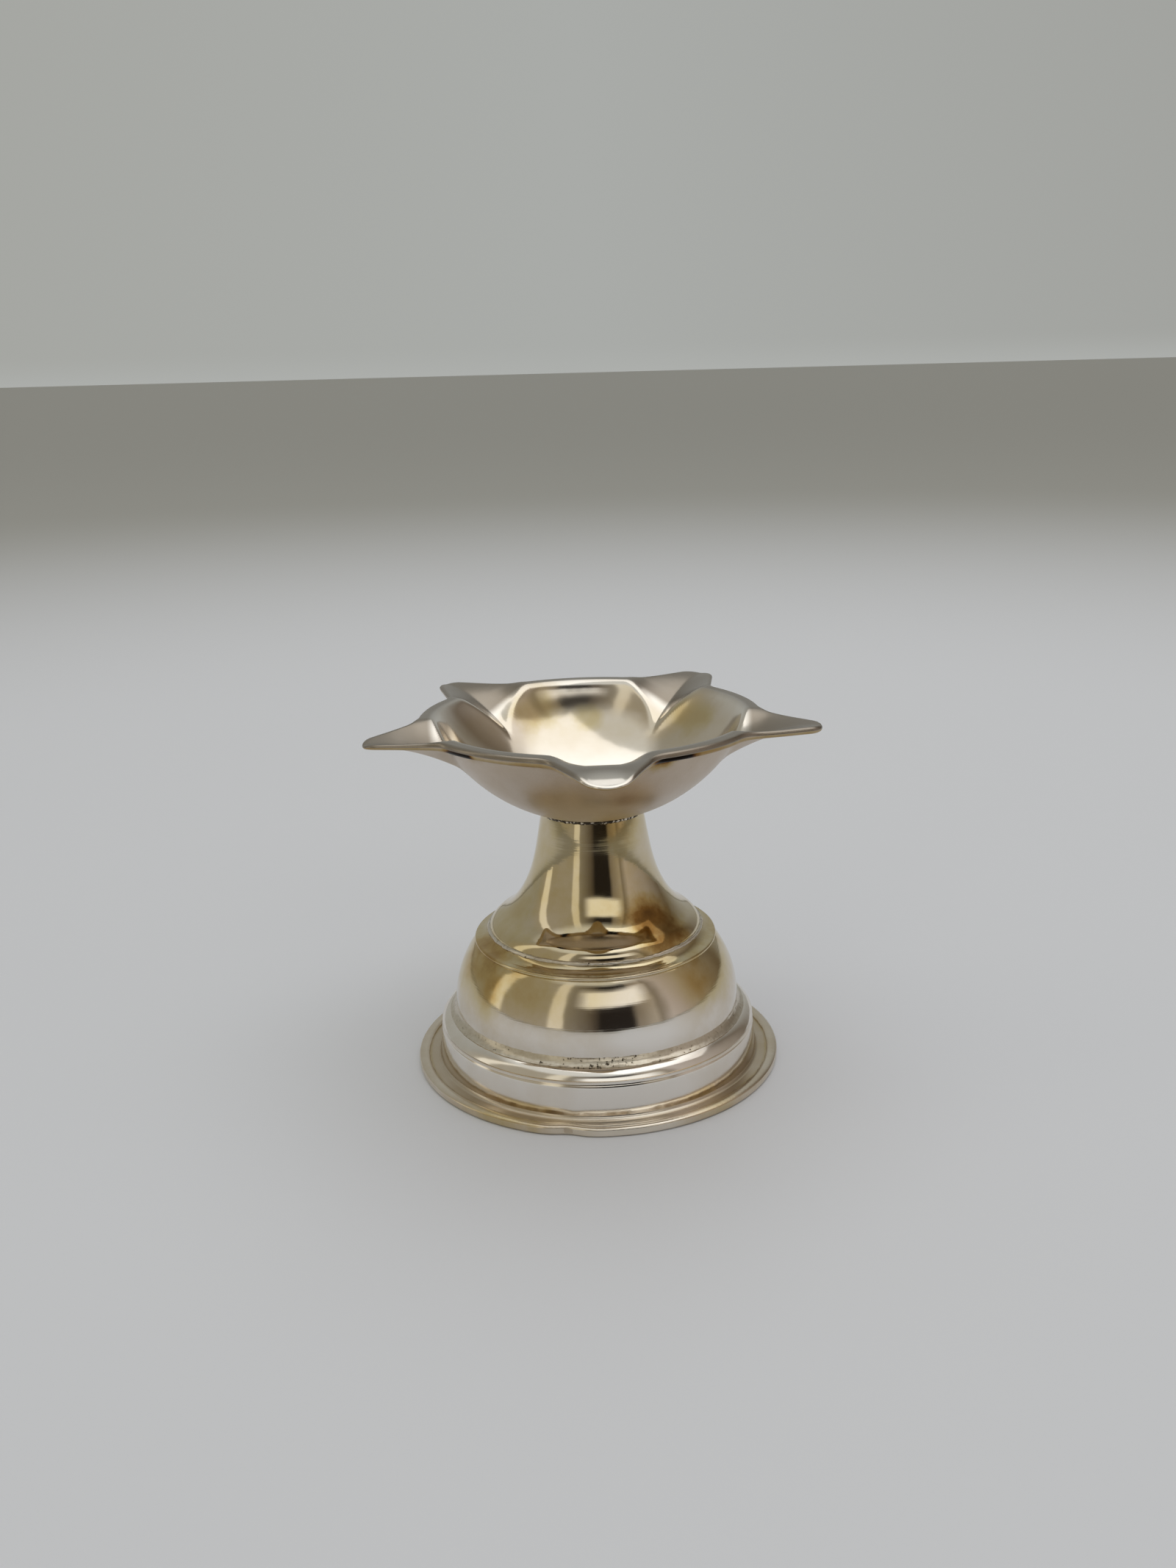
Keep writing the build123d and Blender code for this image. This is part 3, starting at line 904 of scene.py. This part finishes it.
rings = [round_ring(POLE_R + (COURSE_R - POLE_R) * course / ROUND_COURSES)
         for course in range(ROUND_COURSES + 1)]
rings += [star_ring(course / STAR_COURSES) for course in range(1, STAR_COURSES + 1)]
upper = [[(p.x, p.y, inside_height(p.x, p.y)) for p in ring] for ring in rings]
lower = [[(p.x, p.y, under_height(p.x, p.y)) for p in ring] for ring in reversed(rings)]
edge_rings = []
for course in range(1, EDGE_COURSES):
    swing = math.pi * course / EDGE_COURSES
    ring = []
    for inset, out, top, bottom in zip(inset_points, edge_outs, upper[-1], lower[0]):
        spot = inset + out * HEM_ROUND * math.sin(swing)
        middle, half = (top[2] + bottom[2]) / 2, (top[2] - bottom[2]) / 2
        ring.append((spot.x, spot.y, middle + half * math.cos(swing)))
    edge_rings.append(ring)
courses = upper + edge_rings + lower
print("bowl has", len(courses), "rings of", COLUMNS, "points")

# %% Raising the bowl
bpy.ops.object.select_all(action="DESELECT")
bpy.ops.mesh.primitive_circle_add(vertices=COLUMNS, radius=POLE_R * MM)
bowl = bpy.context.object
bowl.name = bowl.data.name = "bowl_raised"
bpy.ops.object.mode_set(mode="EDIT")
for course, ring in enumerate(courses):
    if course:
        bpy.ops.mesh.extrude_edges_move()
    mesh = bmesh.from_edit_mesh(bowl.data)
    mesh.verts.ensure_lookup_table()
    for vertex, point in zip(mesh.verts[-COLUMNS:], ring):
        vertex.co = Vector(point) * MM
# The last ring is drawn together to a point, and so is the first, which is the only open edge then
bpy.ops.mesh.extrude_edges_move()
bpy.ops.mesh.merge(type="CENTER")
bpy.ops.mesh.select_all(action="DESELECT")
bpy.ops.mesh.select_non_manifold()
bpy.ops.mesh.extrude_edges_move()
bpy.ops.mesh.merge(type="CENTER")
bpy.ops.mesh.select_all(action="SELECT")
bpy.ops.mesh.normals_make_consistent(inside=False)
bpy.ops.object.mode_set(mode="OBJECT")
bpy.ops.object.shade_smooth()
print("bowl raised to", len(bowl.data.vertices), "points")

# %% [markdown]
# The inside of the bowl was polished bright, and heat and oil have browned its walls. The outside was
# only rubbed down, so it is satin. Under the rim it has a brown band of painted shade. The bowl is one
# sheet, so it stays one mesh with two materials, and the faces that look down are selected by their
# normals to get the second one.

# %% Finishes of the bowl
SATIN_BELOW = 0.1           # faces whose normals rise less than this belong to the outside

# Burnished inside: almost white and mirror-like, straw up the wall, and a greyer rim that was rubbed
bright_silver = silver("raised_polished_silver", haze=0.02, blotch=0.05, rough=0.1, lines=0.03,
                       wobble=0.12, zone=("out", 20.0, 21.4), matt=0.16, tone="#a8a29b",
                       # painted highlight: the front lip's tip is left out of the rim's grey tone and
                       # matt, so it shows bright
                       painted_highlights=[((1.8, -30, 47), 5)],
                       rises=[("out", 10, 16, 0.24), ("out", 18.5, 20.5, -0.20)],
                       stains=[((-8.6, 17.1, 45.9), 6, 0.20), ((15.2, 12.2, 46.5), 6, 0.18),
                               ((-0.2, 17.5, 43.5), 3, 0.2)])
# Rubbed with pumice outside: soft grey light, no clear reflections, and painted shade under the rim
satin_silver = silver("raised_satin_silver", haze=0.18, blotch=0.08, rough=0.3, lines=0.05,
                      wobble=0.10, grain=0.35, tone="#dcd4cd",
                      # painted shade: thicker film in a band under the hem and in two patches at the
                      # front lip's roots darkens the crease under the rim
                      rises=[("up", 40, 35.5, 0.14)], bands=[("up", hem_z, 0.9, 0.35)],
                      stains=[((-16.2, -15.5, 47.2), 4, 0.6), ((9.4, -20.0, 47.2), 4, 0.6)])
seat(bowl, "bowl", bright_silver)
bowl.data.materials.append(satin_silver)
bowl.active_material_index = 1
bpy.ops.object.mode_set(mode="EDIT")
mesh = bmesh.from_edit_mesh(bowl.data)
for face in mesh.faces:
    face.select_set(face.normal.z < SATIN_BELOW)
bmesh.update_edit_mesh(bowl.data)
bpy.ops.object.material_slot_assign()
bpy.ops.object.mode_set(mode="OBJECT")
print("satin faces:", sum(face.material_index for face in bowl.data.polygons))

# %% [markdown]
# ## Solder
#
# Three runs of solder hold the lamp together: thin beads at both ends of the stem, and a hollow
# fillet where the dome stands in the skirt. A bead starts as a torus and the fillet is turned, and
# both are then made lumpy by moving their points a little at random. A Displace modifier could do
# that too, but a seed that is written down gives the same lumps on every run.

# %% Look of the solder
PIT_MM = 0.45               # size of the pits
PIT_TONES = ((0.0, "#1f1a15"), (0.40, "#4a4238"), (0.47, "#cfc5b3"), (1.0, "#e2dbce"))
PIT_DEPTH = 0.08
PIT_PLACE = (0.5, -19.9, 7.5)  # most pits of the foot are at its front
PIT_SPREAD = 7
FEWER_PITS = 0.12           # what lifts the tone beyond that spread
CRUST_Z = (20, 30)          # between these heights the solder turns to a pitted crust
MORE_PITS = -0.22           # what lowers the tone there

# Silver with copper and zinc, left as it froze: duller and greyer than the sheet, grainy, with dark
# pits where flux was caught
solder, tree = new_material("grainy_silver_solder")
place = add_node(tree, "ShaderNodeTexCoord").outputs["Object"]
grain = add_node(tree, "ShaderNodeTexNoise",
                 {"Vector": place, "Scale": per_metre(PIT_MM), "Detail": 4}).outputs["Fac"]
away = add_node(tree, "ShaderNodeVectorMath", {0: place, 1: Vector(PIT_PLACE) * MM},
                operation="DISTANCE")
height = add_node(tree, "ShaderNodeSeparateXYZ", {"Vector": place}).outputs["Z"]
sparing = add_node(tree, "ShaderNodeMapRange",
                   {"Value": away.outputs["Value"], "From Max": PIT_SPREAD * MM,
                    "To Max": FEWER_PITS})
crusted = add_node(tree, "ShaderNodeMapRange",
                   {"Value": height, "From Min": CRUST_Z[0] * MM, "From Max": CRUST_Z[1] * MM,
                    "To Max": MORE_PITS})
pitted = grain
for change in (sparing, crusted):
    pitted = add_node(tree, "ShaderNodeMath", {0: pitted, 1: change.outputs[0]},
                      operation="ADD").outputs[0]
pit_tone = add_node(tree, "ShaderNodeValToRGB", {"Fac": pitted}, stops=PIT_TONES)
bumps = add_node(tree, "ShaderNodeBump",
                 {"Height": grain, "Strength": 0.3, "Distance": PIT_DEPTH * MM})
shader = add_node(tree, "ShaderNodeBsdfPrincipled",
                  {"Base Color": pit_tone.outputs[0], "Metallic": 1.0, "Roughness": 0.28,
                   "Normal": bumps.outputs[0]})
add_node(tree, "ShaderNodeOutputMaterial", {"Surface": shader.outputs[0]})
print(solder.name, "has", len(tree.nodes), "nodes")

# %% Beads at the ends of the stem
SEAM_R = 0.3
SEAM_STEPS = 160            # faces round the lamp
SEAM_SIDES = 12
SEAM_LUMPS = 0.07           # how far its points are moved
SEAM_SEED = 3


def solder_bead(name, node, radius, height):
    """A thin, lumpy ring of solder."""
    bpy.ops.object.select_all(action="DESELECT")
    bpy.ops.mesh.primitive_torus_add(major_radius=radius * MM, minor_radius=SEAM_R * MM,
                                     major_segments=SEAM_STEPS, minor_segments=SEAM_SIDES)
    run = bpy.context.object
    run.name = run.data.name = name
    bpy.ops.object.mode_set(mode="EDIT")
    bpy.ops.transform.translate(value=(0, 0, height * MM))
    bpy.ops.transform.vertex_random(offset=SEAM_LUMPS * MM, uniform=1.0, seed=SEAM_SEED)
    bpy.ops.object.mode_set(mode="OBJECT")
    bpy.ops.object.shade_smooth()
    seat(run, node, solder)


solder_bead("bowl_seam_run", "bowl_seam", NECK_R, neck_z)
solder_bead("shoulder_seam_run", "shoulder_seam", shoulder_r, shoulder_z)

# %% Fillet round the foot of the dome
FILLET = 0.9
FILLET_HOLLOW = 0.12
FILLET_SINK = 0.08          # how far its foot runs down over the skirt's upper edge
FILLET_LUMPS = 0.03
FILLET_SEED = 5

fillet_foot = (collar_r + FILLET, collar_z - FILLET_SINK)
fillet_outline = [(collar_r, collar_z + FILLET)]
fillet_outline += arc(fillet_outline[-1], fillet_foot, -FILLET_HOLLOW, steps=8)
fillet_outline += [(collar_r, collar_z - SHEET / 2), (collar_r - SHEET / 2, collar_z + SHEET)]
foot_seam = turned("foot_seam_run", fillet_outline)
bpy.ops.object.mode_set(mode="EDIT")
bpy.ops.mesh.select_all(action="SELECT")
bpy.ops.transform.vertex_random(offset=FILLET_LUMPS * MM, uniform=1.0, seed=FILLET_SEED)
bpy.ops.object.mode_set(mode="OBJECT")
seat(foot_seam, "foot_seam", solder)
